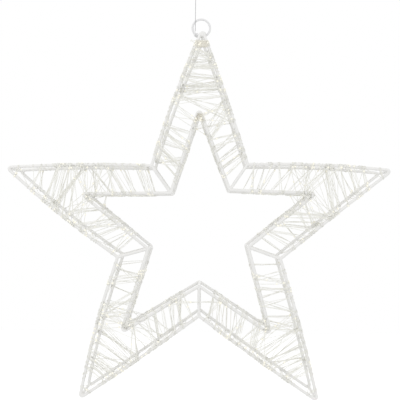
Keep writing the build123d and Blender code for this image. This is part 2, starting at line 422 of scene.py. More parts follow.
def light_drop_finish(settings):
    """Clear warm resin with a small yellow lamp showing in its middle."""
    finish = Finish("warm_resin_drop")
    middle = (1.0 - ((finish.run() - 0.5) * 3.4) ** 2.0).held()
    place = finish.place()
    batch = finish.cloud(place, scale=45.0, detail=1.0)
    ripple = finish.cloud(place, scale=1300.0, detail=1.0)
    resin = finish.blend(batch, settings.resin_colour, shaded(settings.resin_colour, 1.08))
    return finish.dressed({
        "Base Color": finish.blend(middle * (0.35 + batch * 0.5), resin, settings.lamp_colour),
        "Emission Color": finish.blend(middle, shaded(settings.lamp_colour, 0.1), settings.lamp_colour),
        "Emission Strength": 0.16,
        "Roughness": (0.1 + ripple * 0.12).held(),
        "Coat Weight": 0.3,
        "Normal": finish.bump(ripple, distance=0.00008, strength=0.4),
    })


def thread_finish(name, tint):
    """Pale twisted thread: two plies winding round each other, with painted shade in the groove between them and
    fine fibres.
    """
    finish = Finish(name)
    ply = finish.twist(2)
    fibre = finish.cloud(finish.place(), scale=2600.0, detail=2.0)
    # Painted shade: the colour is darker in the groove between the two plies, where shade falls.
    colour = finish.blend(ply, shaded(tint, 0.66), shaded(tint, 1.15))
    return finish.dressed({
        "Base Color": finish.blend(fibre * 0.4, colour, shaded(tint, 1.3)),
        "Roughness": (0.7 + fibre * 0.25).held(),
        "Sheen Weight": 0.25,
        "Normal": finish.bump(ply + fibre * 0.35, distance=0.00016, strength=0.8),
    })


# The star's plan


def star_corners(tip_radius, valley_radius, tip_shifts, valley_shifts):
    """The ten corners of an outline, clockwise from the top tip, at depth 0."""
    corners = []
    for arm in range(len(ARMS)):
        for step, radius, shift in ((0, tip_radius, tip_shifts[arm]), (1, valley_radius, valley_shifts[arm])):
            turn = math.radians(360 / CORNERS * (2 * arm + step))
            across = radius * math.sin(turn) + shift[0] * OUTER_TIP_RADIUS
            up = radius * math.cos(turn) + shift[1] * OUTER_TIP_RADIUS
            corners.append(Vector((STAR_CENTRE.x + across, 0.0, STAR_CENTRE.z + up)))
    return corners


OUTER_CORNERS = star_corners(OUTER_TIP_RADIUS, OUTER_VALLEY_RADIUS, OUTER_TIP_SHIFTS, OUTER_VALLEY_SHIFTS)
INNER_CORNERS = star_corners(INNER_TIP_RADIUS, INNER_VALLEY_RADIUS, INNER_TIP_SHIFTS, INNER_VALLEY_SHIFTS)


def run_middle(corners, index, bow):
    """The middle of the run from one corner to the next, moved out by its bow."""
    corner, following = corners[index], corners[(index + 1) % CORNERS]
    run = following - corner
    return corner + run / 2 + Vector((-run.z, 0.0, run.x)) * bow


def bend_middle(corners, bows, index):
    """The middle of the rod's centreline in the bend at one corner."""
    corner = corners[index]
    before = (run_middle(corners, (index - 1) % CORNERS, bows[index - 1]) - corner).normalized()
    after = (run_middle(corners, index, bows[index]) - corner).normalized()
    inward = (before + after).normalized()
    return corner + inward * (BEND_RADIUS / math.sin(before.angle(after) / 2) - BEND_RADIUS)


OUTER_BENDS = [bend_middle(OUTER_CORNERS, OUTER_BOWS, index) for index in range(CORNERS)]
INNER_BENDS = [bend_middle(INNER_CORNERS, (0.0,) * CORNERS, index) for index in range(CORNERS)]

# The middles of the two tight bindings on the top arm and how strongly their varnish shows, how far from them it
# reaches, and how sharply it ends there
BINDINGS = (
    (OUTER_CORNERS[0] + Vector((0.0, FRONT_DEPTH, -0.0215)), 0.35),
    (INNER_CORNERS[0] + Vector((0.0, FRONT_DEPTH, -0.0130)), 0.40),
)
BINDING_REACH = 0.013
BINDING_EDGE = 2.5


class RodRun:
    """One run of a rod in the star's plane, from a tip to a valley, with the side that faces the winding."""

    # How far to either side of a point the way along the rod is taken from
    way_reach = 0.002

    def __init__(self, start, end, inside, middle=None):
        self.points = [start, end]
        if middle is not None:
            entry = middle + (start - middle) * BOW_REACH
            leave = middle + (end - middle) * BOW_REACH
            bow = []
            for number in range(BOW_STEPS + 1):
                share = number / BOW_STEPS
                bow.append(entry * (1 - share) ** 2 + middle * (2 * share * (1 - share)) + leave * share**2)
            self.points[1:1] = bow
        self.places = [0.0]
        for one, two in zip(self.points, self.points[1:]):
            self.places.append(self.places[-1] + (two - one).length)
        self.length = self.places[-1]
        self.inside = inside

    def point(self, distance):
        distance = min(max(distance, 0.0), self.length)
        across = np.interp(distance, self.places, [point.x for point in self.points])
        up = np.interp(distance, self.places, [point.z for point in self.points])
        return Vector((float(across), 0.0, float(up)))

    def at(self, distance):
        """The point, the way along the rod and the way out of the winding."""
        point = self.point(distance)
        along = (self.point(distance + self.way_reach) - self.point(distance - self.way_reach)).normalized()
        beside = self.inside - point
        return point, along, (along * beside.dot(along) - beside).normalized()


# Winding

# The strands of each winding, those in front and then those behind: where each leaves its first rod and where it
# reaches its second, in millimetres from the tip along them. The two rods are the left and the right outer rod at
# an arm's tip, and the outer and the inner rod on its limbs
STRANDS = {
    "top": {
        "tip": (((31, 41), (39, 51), (58, 60), (62, 61), (79, 80), (81, 97), (112, 84), (118, 108)),
                ((19, 25), (35, 34), (43, 42), (61, 63), (78, 67), (83, 76), (89, 82))),
        "left": (((119, 22), (155, 53), (166, 66), (188, 91), (195, 98), (203, 110)),
                ((150, 31), (159, 59), (175, 61), (189, 92), (210, 77))),
        "right": (((122, 12), (131, 44), (168, 52), (177, 64), (188, 90), (206, 112)),
                ((99, 27), (120, 45), (162, 67), (179, 80), (193, 94))),
    },
    "right": {
        "tip": (((47, 46), (60, 62), (70, 64), (78, 84), (94, 104), (98, 108), (112, 112)),
                ((27, 30), (47, 49), (63, 57), (74, 69), (90, 84), (87, 97))),
        "left": (((78, 6), (94, 29), (137, 12), (150, 49), (172, 53), (182, 85), (214, 96)),
                ((85, 4), (114, 4), (113, 37), (142, 66), (169, 78), (188, 86), (204, 110))),
        "right": (((109, 53), (120, 44), (118, 58), (156, 42), (147, 78), (163, 92), (188, 96)),
                ((113, 48), (137, 11), (130, 68), (142, 74), (173, 63), (183, 92), (204, 106))),
    },
    "lower_right": {
        "tip": (((48, 54), (60, 62), (76, 84), (80, 90), (92, 98), (112, 108)),
                ((37, 44), (48, 57), (52, 74), (68, 84), (86, 80), (98, 105))),
        "left": (((108, 5), (122, 11), (139, 44), (160, 44), (175, 70), (184, 87), (204, 88)),
                ((102, 9), (120, 17), (128, 41), (163, 46), (164, 65), (180, 85), (207, 105))),
        "right": (((122, 4), (126, 28), (147, 48), (165, 52), (161, 71), (180, 83), (190, 95), (220, 92)),
                ((116, 13), (136, 6), (144, 46), (155, 59), (166, 78), (183, 90), (201, 100))),
    },
    "lower_left": {
        "tip": (((46, 50), (54, 56), (64, 64), (70, 74), (84, 80), (98, 94), (104, 118)),
                ((30, 30), (39, 41), (47, 47), (66, 54), (71, 73), (90, 92))),
        "left": (((92, 19), (104, 22), (137, 45), (148, 62), (160, 72), (175, 90), (190, 99), (217, 110)),
                ((98, 4), (133, 14), (138, 50), (158, 40), (166, 80), (182, 92), (181, 101))),
        "right": (((133, 12), (131, 34), (140, 50), (135, 66), (180, 84), (190, 91), (222, 84)),
                ((114, 16), (120, 51), (136, 36), (167, 51), (177, 83), (196, 84), (205, 107))),
    },
    "left": {
        "tip": (((53, 54), (76, 82), (92, 80), (104, 92), (112, 100), (124, 110)),
                ((44, 41), (62, 60), (81, 81), (80, 101), (82, 103))),
        "left": (((119, 6), (130, 14), (134, 60), (153, 46), (150, 68), (170, 80), (208, 98)),
                ((102, 33), (105, 36), (135, 61), (141, 75), (165, 76), (189, 89), (207, 100))),
        "right": (((118, 6), (146, 22), (150, 52), (156, 67), (177, 82), (203, 106)),
                ((119, 4), (116, 38), (146, 56), (168, 78), (192, 92), (210, 107))),
    },
}

# Where light drops sit close together: the rod, first or second, and the millimetres along it
CLUSTERS = {
    "top": {
        "tip": ((0, 22), (1, 22), (0, 60), (1, 60), (0, 78), (1, 78), (0, 113), (1, 95)),
        "left": ((0, 150), (0, 185), (1, 12), (1, 60)),
        "right": ((1, 12), (1, 108)),
    },
    "right": {
        "tip": ((0, 60), (0, 118), (1, 40), (1, 68), (1, 94)),
        "left": ((1, 85), (1, 108)),
        "right": ((0, 172), (1, 68)),
    },
    "lower_right": {
        "tip": ((0, 58), (1, 90), (1, 98)),
        "left": ((0, 175), (0, 188), (1, 96), (1, 106)),
        "right": ((0, 166), (0, 176)),
    },
    "lower_left": {
        "tip": ((0, 65), (0, 75), (1, 94), (1, 100), (0, 120)),
        "left": ((1, 95),),
        "right": ((0, 180), (1, 84), (1, 94), (1, 105)),
    },
    "left": {
        "tip": ((0, 22), (0, 58), (0, 68), (0, 92), (0, 113), (1, 83), (1, 114)),
        "left": ((0, 133), (0, 160), (1, 86), (1, 98)),
        "right": ((1, 42), (0, 200), (1, 104)),
    },
}

# How far inside the solids' front and back the middle of every drop stays
DROP_MARGIN = 0.0015

# Where the windings start and stop, in metres from the rods' ends, and how many passes fill them
TIP_START = 0.018
BEND_END = 0.0095
LIMB_STOP = 0.010
TIP_TURNS = {"top": 36, "right": 20, "lower_right": 22, "lower_left": 28, "left": 20}
LIMB_TURNS = 21

# The spread of a pass about its noted place, for the first two passes of each strand and for those after them
NEAR_STRAY = 0.0013
FAR_STRAY = 0.0045

# How often the wire goes on round a rod before it leaves, for how many whole turns, and how far it creeps then
LINGER_CHANCE = 0.22
LINGER_TURNS = (1, 2)
LINGER_CREEP = (0.004, 0.014)

# Tight turns at an arm's outer and inner tip, where they are bound and where they aren't, their pitches, and how
# far they stray, as a share of the pitch
BOUND_TURNS = (12, 7)
PLAIN_TURNS = (2, 3)
BUNDLE_PITCHES = (0.0009, 0.0017)
BUNDLE_STRAY = 0.4

# The ear of spare wire at the apex: its place along the rod, its length, its width and its twist's two amounts
EAR_PLACE = 0.022
EAR_LENGTH = 0.0095
EAR_WIDTH = 0.0016
EAR_CURL = 0.0009
EAR_LIFT = 0.0005
EAR_STEPS = 29

# Loose passes that cross each other near the inner tip: how many, and the reach on the outer and the inner rods
FRONT_CROSSINGS = 3
BACK_CROSSINGS = 2
CROSSING_OUTER_REACH = (0.092, 0.152)
CROSSING_INNER_REACH = (0.0095, 0.034)
CROSSING_CREEP = (0.001, 0.004)

# The wire over the bottom valley: the rod, left or right, and the millimetres from its inner tip
VALLEY_TIES = ((0, 92), (1, 85), (0, 88), (1, 88), (0, 80))

# A span between rods: its slack, as a share of its length and at most, its pieces, and the least that carries drops
SLACK_SHARE = 0.012
MOST_SLACK = 0.0012
SLACK_ACROSS = Vector((0.3, 1.0, 0.2))
SPAN_PIECE = 0.011
DROP_SPAN = 0.014

# The wire's gap to the rod that it goes round, and the angle from point to point there
ROD_GAP = (0.00001, 0.0001)
TURN_STEP = math.pi / 5

AHEAD = Vector((0, -1, 0))
BEHIND = Vector((0, 1, 0))


class Winder:
    """Lays one wire by hand over the rods: spans from rod to rod, with turns round each rod."""

    def __init__(self, rods, wire_radius, dice):
        self.rods = rods
        self.wire_radius = wire_radius
        self.dice = dice
        self.points = []
        self.spans = []

    def span_to(self, point):
        """A span with a little slack, from where the wire is to the next rod."""
        if not self.points:
            self.points.append(point)
            return
        start = self.points[-1]
        run = point - start
        side = run.cross(SLACK_ACROSS).normalized()
        slack = max(-MOST_SLACK, min(MOST_SLACK, self.dice.gauss(0.0, SLACK_SHARE) * run.length))
        pieces = max(2, int(run.length / SPAN_PIECE))
        first = len(self.points) - 1
        for number in range(1, pieces):
            share = number / pieces
            self.points.append(start + run * share + side * (4 * share * (1 - share) * slack))
        self.points.append(point)
        if run.length > DROP_SPAN:
            self.spans.append((first, len(self.points) - 1))

    def turn_round(self, rod, depth, distance, start_way, side_way, turn, creep=0.0):
        """Turns round a rod, from one side of it past the next, while creeping along it.

        A way of None stands for the way out of the winding.
        """
        steps = max(2, int(round(turn / TURN_STEP)))
        reach = ROD_RADIUS + self.wire_radius + self.dice.uniform(*ROD_GAP)
        for number in range(steps + 1):
            share = number / steps
            centre, _, outward = self.rods[rod].at(distance + creep * share)
            start = outward if start_way is None else start_way
            side = outward if side_way is None else side_way
            angle = turn * share
            point = centre + start * (math.cos(angle) * reach) + side * (math.sin(angle) * reach)
            point.y += depth
            if number == 0:
                self.span_to(point)
            else:
                self.points.append(point)

    def corner(self, quarter, distance, whole_turns, creep):
        """One of the four corners of a pass round all four rods, with whole turns round the rod if it lingers."""
        rod, depth, start_way, side_way = (
            (0, FRONT_DEPTH, None, AHEAD),
            (1, FRONT_DEPTH, AHEAD, None),
            (1, BACK_DEPTH, None, BEHIND),
            (0, BACK_DEPTH, BEHIND, None),
        )[quarter]
        turn = math.pi / 2 + 2 * math.pi * whole_turns
        self.turn_round(rod, depth, distance, start_way, side_way, turn, creep)

    def tie(self, rod, depth, distance, creep):
        """A whole turn round one rod, that starts and ends on the star's front or back."""
        way = AHEAD if depth == FRONT_DEPTH else BEHIND
        self.turn_round(rod, depth, distance, way, None, 2 * math.pi, creep)

    def bundle(self, distance, turns, pitch):
        """Tight turns round the two front rods, near the point where they meet."""
        for number in range(turns):
            stray = self.dice.uniform(-BUNDLE_STRAY, BUNDLE_STRAY) * pitch
            away = number * pitch
            self.turn_round(0, FRONT_DEPTH, distance + away + stray, BEHIND, None, math.pi)
            self.turn_round(1, FRONT_DEPTH, distance + away - stray, AHEAD, None, math.pi)

    def ear(self):
        """A twisted ear of spare wire that stands out of the first rod."""
        centre, along, outward = self.rods[0].at(EAR_PLACE)
        centre.y += FRONT_DEPTH - ROD_RADIUS - self.wire_radius
        for number in range(EAR_STEPS + 1):
            share = number / EAR_STEPS
            bulge = math.sin(math.pi * share)
            swing = math.cos(math.pi * share) * EAR_WIDTH + math.sin(6 * math.pi * share) * EAR_CURL
            lift = AHEAD * (math.cos(6 * math.pi * share) * EAR_LIFT) * bulge
            self.points.append(centre + outward * (bulge * EAR_LENGTH) + along * swing + lift)


def wind_passes(winder, front, back, least_turns, wander):
    """Winds the wire through its strands and back again, each pass close beside the last, until it is full."""
    dice = winder.dice
    order = list(range(max(len(front), len(back))))
    stray = NEAR_STRAY * wander
    turns = 0
    while turns < least_turns:
        for index in order:
            fore, aft = front[min(index, len(front) - 1)], back[min(index, len(back) - 1)]
            for quarter, place in enumerate((fore[0], fore[1], aft[1], aft[0])):
                rod = winder.rods[0 if quarter in (0, 3) else 1]
                low, high = BEND_END, rod.length - LIMB_STOP
                distance = min(max(place * MM + dice.gauss(0.0, stray), low), high)
                whole_turns, creep = 0, 0.0
                if dice.random() < LINGER_CHANCE:
                    whole_turns = dice.randint(*LINGER_TURNS)
                    creep = dice.uniform(*LINGER_CREEP) * dice.choice((-1, 1))
                if quarter in (0, 2):
                    creep = distance - min(max(distance - creep, low), high)
                    distance -= creep
                else:
                    creep = min(max(distance + creep, low), high) - distance
                winder.corner(quarter, distance, whole_turns, creep)
        turns += len(order)
        order.reverse()
        if turns > len(order):
            stray = FAR_STRAY * wander


def wind_across(rods, radius, dice):
    """Winds loose passes that cross each other near the inner tip, once over the front and once over the back."""
    winders = []
    for depth, passes in ((FRONT_DEPTH, FRONT_CROSSINGS), (BACK_DEPTH, BACK_CROSSINGS)):
        winder = Winder(rods, radius, dice)
        for number in range(passes):
            for rod in (0, 1, 2 + number % 2, (number + 1) % 2):
                reach = CROSSING_INNER_REACH if rod > 1 else CROSSING_OUTER_REACH
                winder.tie(rod, depth, dice.uniform(*reach), dice.uniform(*CROSSING_CREEP))
        winders.append(winder)
    return winders


def wind_over_valley(radius, dice):
    """The wire's way from limb to limb, over the front strut of the bottom valley."""
    rods = (arm_rods(ARMS.index("lower_left"))["left"][1], arm_rods(ARMS.index("lower_right"))["right"][1])
    winder = Winder(rods, radius, dice)
    for rod, distance in VALLEY_TIES:
        winder.tie(rod, FRONT_DEPTH, distance * MM, dice.uniform(*CROSSING_CREEP))
    return winder


def arm_rods(arm):
    """The rods of one arm, each from its tip to its valley: the outer and the inner one of each limb."""
    tip, inner_tip = OUTER_CORNERS[2 * arm], INNER_CORNERS[2 * arm]
    rods = {}
    before = (2 * arm - 1) % CORNERS
    for side, corner, run in (("left", before, before), ("right", 2 * arm + 1, 2 * arm)):
        valley, inner_valley = OUTER_CORNERS[corner], INNER_CORNERS[corner]
        middle = run_middle(OUTER_CORNERS, run, OUTER_BOWS[run])
        rods[side] = (RodRun(tip, valley, inner_tip, middle), RodRun(inner_tip, inner_valley, valley))
    return rods


def wind_arm(arm, settings):
    """The three windings of one arm: for each its winders and the places where its drops sit close."""
    name = ARMS[arm]
    rods = arm_rods(arm)
    radius = settings.diameter / 2
    outer_turns, inner_turns = BOUND_TURNS if name == "top" else PLAIN_TURNS
    windings = {}
    for number, part in enumerate(("tip", "left", "right")):
        dice = random.Random(settings.seed * 1000 + arm * 10 + number)
        clusters = [(rod, distance * MM) for rod, distance in CLUSTERS[name][part]]
        if part == "tip":
            outer_rods, inner_rods = zip(rods["left"], rods["right"])
            winder = Winder(outer_rods, radius, dice)
            winder.bundle(TIP_START, outer_turns, BUNDLE_PITCHES[0])
            if name == "top":
                winder.ear()
            wind_passes(winder, *STRANDS[name][part], TIP_TURNS[name], settings.wander)
            inner = Winder(inner_rods, radius, dice)
            inner.bundle(BEND_END, inner_turns, BUNDLE_PITCHES[1])
            winders = [winder, inner, *wind_across(outer_rods + inner_rods, radius, dice)]
            windings[f"{name}_tip_winding"] = (winders, clusters)
        else:
            winder = Winder(rods[part], radius, dice)
            wind_passes(winder, *STRANDS[name][part], LIMB_TURNS, settings.wander)
            winders = [winder]
            if (name, part) == ("lower_left", "left"):
                winders.append(wind_over_valley(radius, dice))
            windings[f"{name}_{part}_limb_winding"] = (winders, clusters)
    return windings


# Meshes

# The wire's tube: its sides and the length of one turn of its twist
WIRE_SIDES = 7
WIRE_TWIST = 0.004

# A light drop's outline as shares of its length and of its radius, its sides, and the spread of the drops' sizes
DROP_PROFILE = (
    (0.0, 0.30), (0.09, 0.56), (0.24, 0.84), (0.42, 0.99), (0.58, 0.99), (0.76, 0.84), (0.91, 0.56), (1.0, 0.30),
)
DROP_SIDES = 10
DROP_SIZES = (0.86, 1.0)

# Single drops sit this far from a rod, or anywhere within this share of a span
NEAR_ROD = (0.0026, 0.0060)
MID_SPAN = (0.2, 0.8)

# Drops in a cluster: how far from its middle, by how much that is blurred, how far apart, and how many
CLUSTER_REACH = 0.012
CLUSTER_BLUR = 0.004
CLUSTER_GAP = 0.0030
CLUSTER_MOST = 5

# Shorter pieces of wire don't say which way a drop lies
SHORTEST_WAY = 0.0004


def new_piece(name, mesh, material, body):
    """A smooth piece of the scene, that rides on a body and takes its finish from a slot."""
    mesh.polygons.foreach_set("use_smooth", [True] * len(mesh.polygons))
    mesh.update()
    piece = bpy.data.objects.new(name, mesh)
    mesh.materials.append(material)
    bpy.context.scene.collection.objects.link(piece)
    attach(piece, body)
    return piece


class Skin:
    """The closed skins of one piece, mapped with how far along its run and how far round it each corner lies."""

    def __init__(self):
        self.vertices, self.faces, self.runs = [], [], []

    def ring(self, centre, side, other, radius, sides):
        """Adds a ring of vertices."""
        for number in range(sides):
            angle = 2 * math.pi * number / sides
            self.vertices.append(centre + side * (math.cos(angle) * radius) + other * (math.sin(angle) * radius))

    def close(self, places, sides):
        """Joins the last rings, one for each place along the run, and closes both ends."""
        base, last = len(self.vertices) - len(places) * sides, len(self.vertices) - sides
        for index, (start, stop) in enumerate(zip(places, places[1:])):
            low, high = base + index * sides, base + (index + 1) * sides
            for number in range(sides):
                following = (number + 1) % sides
                self.faces.append((low + number, low + following, high + following, high + number))
                left, right = number / sides, (number + 1) / sides
                self.runs += [(start, left), (start, right), (stop, right), (stop, left)]
        self.faces.append(tuple(base + number for number in reversed(range(sides))))
        self.faces.append(tuple(last + number for number in range(sides)))
        self.runs += [(places[0], 0.5)] * sides + [(places[-1], 0.5)] * sides

    def tube(self, points, radius, sides, twist_length):
        """Adds a tube along points."""
        last = len(points) - 1
        ways = []
        for index in range(last + 1):
            way = points[min(index + 1, last)] - points[max(index - 1, 0)]
            ways.append(way.normalized() if way.length > 1e-9 else ways[-1])
        side = ways[0].orthogonal().normalized()
        along = 0.0
        places = []
        for index, (point, way) in enumerate(zip(points, ways)):
            if index:
                along += (point - points[index - 1]).length
            places.append(along / twist_length)
            side = (side - way * side.dot(way)).normalized()
            self.ring(point, side, way.cross(side), radius, sides)
        self.close(places, sides)

    def drop(self, centre, way, length, radius):
        """Adds one light drop: a blunt bead of resin moulded along the wire."""
        side = way.orthogonal().normalized()
        other = way.cross(side)
        for place, swell in DROP_PROFILE:
            self.ring(centre + way * ((place - 0.5) * length), side, other, radius * swell, DROP_SIDES)
        self.close([place for place, _ in DROP_PROFILE], DROP_SIDES)

    def mesh(self, name):
        """All the skins as one mesh, with the map that the twisted finishes follow."""
        mesh = bpy.data.meshes.new(name)
        mesh.from_pydata([tuple(vertex) for vertex in self.vertices], [], self.faces)
        layer = mesh.uv_layers.new(name="run")
        layer.data.foreach_set("uv", [number for pair in self.runs for number in pair])
        return mesh


def drops_on_spans(winder, most, dice):
    """Places for drops along a wire's spans, oftenest near a rod."""
    places = []
    count = min(len(winder.spans), most)
    for number in range(count):
        first, last = winder.spans[int((number + dice.uniform(0.1, 0.9)) * len(winder.spans) / count)]
        start, end = winder.points[first], winder.points[last]
        near = dice.uniform(*NEAR_ROD) / (end - start).length
        share = dice.choice((near, near, 1 - near, 1 - near, dice.uniform(*MID_SPAN), dice.uniform(*MID_SPAN)))
        place = first + share * (last - first)
        low = min(int(place), last - 1)
        step = winder.points[low + 1] - winder.points[low]
        places.append((winder.points[low] + step * (place - low), step.normalized()))
    return places


def drops_in_clusters(winders, clusters, dice):
    """Places for drops that sit close together on the wire where it gathers at a rod."""
    places = []
    for rod, distance in clusters:
        centre = winders[0].rods[rod].point(distance)
        centre.y = FRONT_DEPTH
        near = []
        for winder in winders:
            for one, two in zip(winder.points, winder.points[1:]):
                middle = (one + two) / 2
                away = (middle - centre).length
                if away < CLUSTER_REACH and (two - one).length > SHORTEST_WAY:
                    near.append((away + dice.uniform(0, CLUSTER_BLUR), middle, (two - one).normalized()))
        near.sort(key=lambda entry: entry[0])
        chosen = []
        for _, middle, way in near:
            if all((middle - other).length > CLUSTER_GAP for other, _ in chosen):
                chosen.append((middle, way))
            if len(chosen) == CLUSTER_MOST:
                break
        places += chosen
    return places


def smooth_line(route, samples=10):
    """The points along the route's NURBS curve."""
    curve = bpy.data.curves.new("route", "CURVE")
    curve.dimensions = "3D"
    spline = curve.splines.new("NURBS")
    spline.points.add(len(route) - 1)
    for control, point in zip(spline.points, route):
        control.co = (*point, 1.0)
    spline.order_u = 3
    spline.use_endpoint_u = True
    curve.resolution_u = samples
    line = bpy.data.objects.new("route", curve)
    flat = bpy.data.meshes.new_from_object(line)
    points = [vertex.co.copy() for vertex in flat.vertices]
    bpy.data.meshes.remove(flat)
    bpy.data.objects.remove(line)
    bpy.data.curves.remove(curve)
    return points


# The thread's routes


def beside_ring(along, outward, behind):
    """A point near where the thread crosses the ring: along the ring, outward from it and to the back."""
    crossing_drop = math.sqrt(RING_CENTRE_RADIUS**2 - THREAD_OFFSET**2)
    crossing = math.atan2(-crossing_drop, -THREAD_OFFSET)
    angle = crossing + along / RING_CENTRE_RADIUS
    reach = RING_CENTRE_RADIUS + outward
    return RING_CENTRE + Vector((reach * math.cos(angle), behind, reach * math.sin(angle)))


def ring_knot_route(diameter):
    """The turns round the ring, from their loose end to the foot of the free thread."""
    knot_length = KNOT_TURNS * KNOT_PITCH
    route = [beside_ring(knot_length, diameter, -KNOT_REACH)]
    for index in range(4 * KNOT_TURNS):
        outward, behind = ((-1, -1), (-1, 1), (1, 1), (1, -1))[index % 4]
        along = knot_length * (1 - (index + 1) / (4 * KNOT_TURNS))
        route.append(beside_ring(along, KNOT_REACH * outward, KNOT_REACH * behind))
    riser_foot = beside_ring(0, 0, -KNOT_REACH)
    return route + [riser_foot, riser_foot + Vector((0, 0, RISER_LENGTH))]


def loop_knot_route(centre):
    """A small overhand knot: a trefoil of sixteen steps that runs three steps past its start."""
    route = []
    for number in range(16 + 3):
        angle = 2 * math.pi * number / 16
        wind = Vector((
            math.sin(angle) + 2 * math.sin(2 * angle),
            -math.sin(3 * angle) * 1.1,
            math.cos(angle) - 2 * math.cos(2 * angle),
        ))
        route.append(centre + wind * LOOP_KNOT_SIZE)
    return route


# Operators


def require(condition, message):
    if not condition:
        raise RuntimeError(message)


class WIRESTAR_OT_stage(bpy.types.Operator):
    """Sets up the camera, the soft lamps, the white surroundings and the floor"""

    bl_idname = "wirestar.stage"
    bl_label = "Set the stage"

    def execute(self, context):
        settings = context.scene.star_stage
        scene = context.scene
        scene.view_settings.view_transform = "Standard"

        camera_data = bpy.data.cameras.new("camera")
        camera_data.sensor_width = 36.0
        camera_data.lens = settings.lens
        camera_data.clip_end = 50.0
        camera = bpy.data.objects.new("camera", camera_data)
        turn, tilt, roll = (math.radians(angle) for angle in (CAMERA_TURN, CAMERA_TILT, CAMERA_ROLL))
        forward = Vector((-math.sin(turn) * math.cos(tilt), math.cos(turn) * math.cos(tilt), math.sin(tilt)))
        level = Vector((math.cos(turn), math.sin(turn), 0.0))
        upright = level.cross(forward)
        right = level * math.cos(roll) + upright * math.sin(roll)
        up = upright * math.cos(roll) - level * math.sin(roll)
        axes = Matrix((right, up, -forward)).transposed().to_4x4()
        camera.matrix_world = Matrix.Translation(CAMERA_PLACE) @ axes
        scene.collection.objects.link(camera)
        scene.camera = camera

        for name, (place, size, share) in LAMPS.items():
            lamp_data = bpy.data.lights.new(name, "AREA")
            lamp_data.shape = "DISK"
            lamp_data.size = size
            lamp_data.energy = settings.key_power * share
            lamp = bpy.data.objects.new(name, lamp_data)
            aim = STAR_CENTRE - Vector(place)
            lamp.location = place
            lamp.rotation_euler = aim.to_track_quat("-Z", "Y").to_euler()
            scene.collection.objects.link(lamp)

        world = Finish("white_room", scene.world or bpy.data.worlds.new("white_room"))
        scene.world = world.owner
        seen = world.seen()
        room = world.node("ShaderNodeBackground", {}, {"Color": WHITE, "Strength": settings.room_light})
        white = world.node("ShaderNodeBackground", {}, {"Color": WHITE, "Strength": 1.0})
        world.surface(world.node("ShaderNodeMixShader", {}, {0: seen, 1: room, 2: white}), "ShaderNodeOutputWorld")

        plate = bpy.data.meshes.new("floor")
        half, height = FLOOR_HALF, settings.floor_height
        plate.from_pydata(
            [(-half, -half, height), (half, -half, height), (half, half, height), (-half, half, height)],
            [], [(0, 1, 2, 3)],
        )
        floor = bpy.data.objects.new("floor", plate)
        finish = Finish("pale_floor")
        mottle = finish.cloud(finish.place(), scale=6.0, detail=4.0)
        colour = finish.blend(mottle, shaded(settings.floor_colour, 0.985), shaded(settings.floor_colour, 1.015))
        matt = finish.node("ShaderNodeBsdfPrincipled", {}, {"Base Color": colour, "Roughness": 0.9})
        glow = finish.node("ShaderNodeEmission", {}, {"Color": WHITE, "Strength": 0.3})
        none = finish.node("ShaderNodeEmission", {}, {"Color": (0.0, 0.0, 0.0, 1.0), "Strength": 0.0})
        lift = finish.node("ShaderNodeMixShader", {}, {0: finish.seen(), 1: none, 2: glow})
        plate.materials.append(finish.surface(finish.node("ShaderNodeAddShader", {}, {0: matt, 1: lift})))
        scene.collection.objects.link(floor)
        return {"FINISHED"}


class WIRESTAR_OT_thread(bpy.types.Operator):
    """Makes the hanging thread, its knot round the ring, its upper knot and its loop"""

    bl_idname = "wirestar.thread"
    bl_label = "Hang the thread"

    def execute(self, context):
        settings = context.scene.star_thread
        radius = settings.diameter / 2
        finish = thread_finish("pale_twisted_thread", settings.colour)
        # The knots' finish is a lighter copy of the thread's finish: painted light against the knots' own shade.
        lightened_knot_finish = thread_finish("knot_thread_painted_lighter", settings.knot_lightened_colour)

        skin = Skin()
        route = ring_knot_route(settings.diameter)
        thread_foot = route[-1]
        skin.tube(smooth_line(route), radius, THREAD_SIDES, THREAD_TWIST)
        hitch = smooth_line([beside_ring(*place) for place in HITCH])
        skin.tube(hitch, radius * HITCH_SHARE, THREAD_SIDES, THREAD_TWIST)
        ring_knot = new_piece("ring_knot_thread", skin.mesh("ring_knot"), lightened_knot_finish, "ring")
        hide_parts("ring_knot")

        skin = Skin()
        knot_centre = Vector((0.0, 0.0, LOOP_KNOT_UP))
        lump = smooth_line(loop_knot_route(knot_centre), samples=6)
        skin.tube(lump, radius * LOOP_KNOT_SHARE, LOOP_KNOT_SIDES, THREAD_TWIST)
        loop_knot = new_piece("loop_knot_thread", skin.mesh("loop_knot"), lightened_knot_finish, "thread")
        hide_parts("loop_knot")

        skin = Skin()
        loop_line = smooth_line([Vector((x * MM, 0.0, z * MM)) for x, z in THREAD_LOOP])
        skin.tube(loop_line, radius, THREAD_SIDES, THREAD_TWIST)
        loop = new_piece("thread_loop_thread", skin.mesh("thread_loop"), finish, "thread")
        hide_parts("thread_loop")

        skin = Skin()
        rise = knot_centre.z - thread_foot.z
        straight_foot = thread_foot + Vector((0, 0, STRAIGHT_END))
        straight_top = thread_foot + Vector((0, 0, rise - STRAIGHT_END))
        thread_points = smooth_line([thread_foot, straight_foot, straight_top, knot_centre], samples=12)
        skin.tube(thread_points, radius, THREAD_SIDES, THREAD_TWIST)
        thread = new_piece("hanging_thread_cord", skin.mesh("hanging_thread"), finish, "thread")
        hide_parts("hanging_thread")
        return {"FINISHED"}


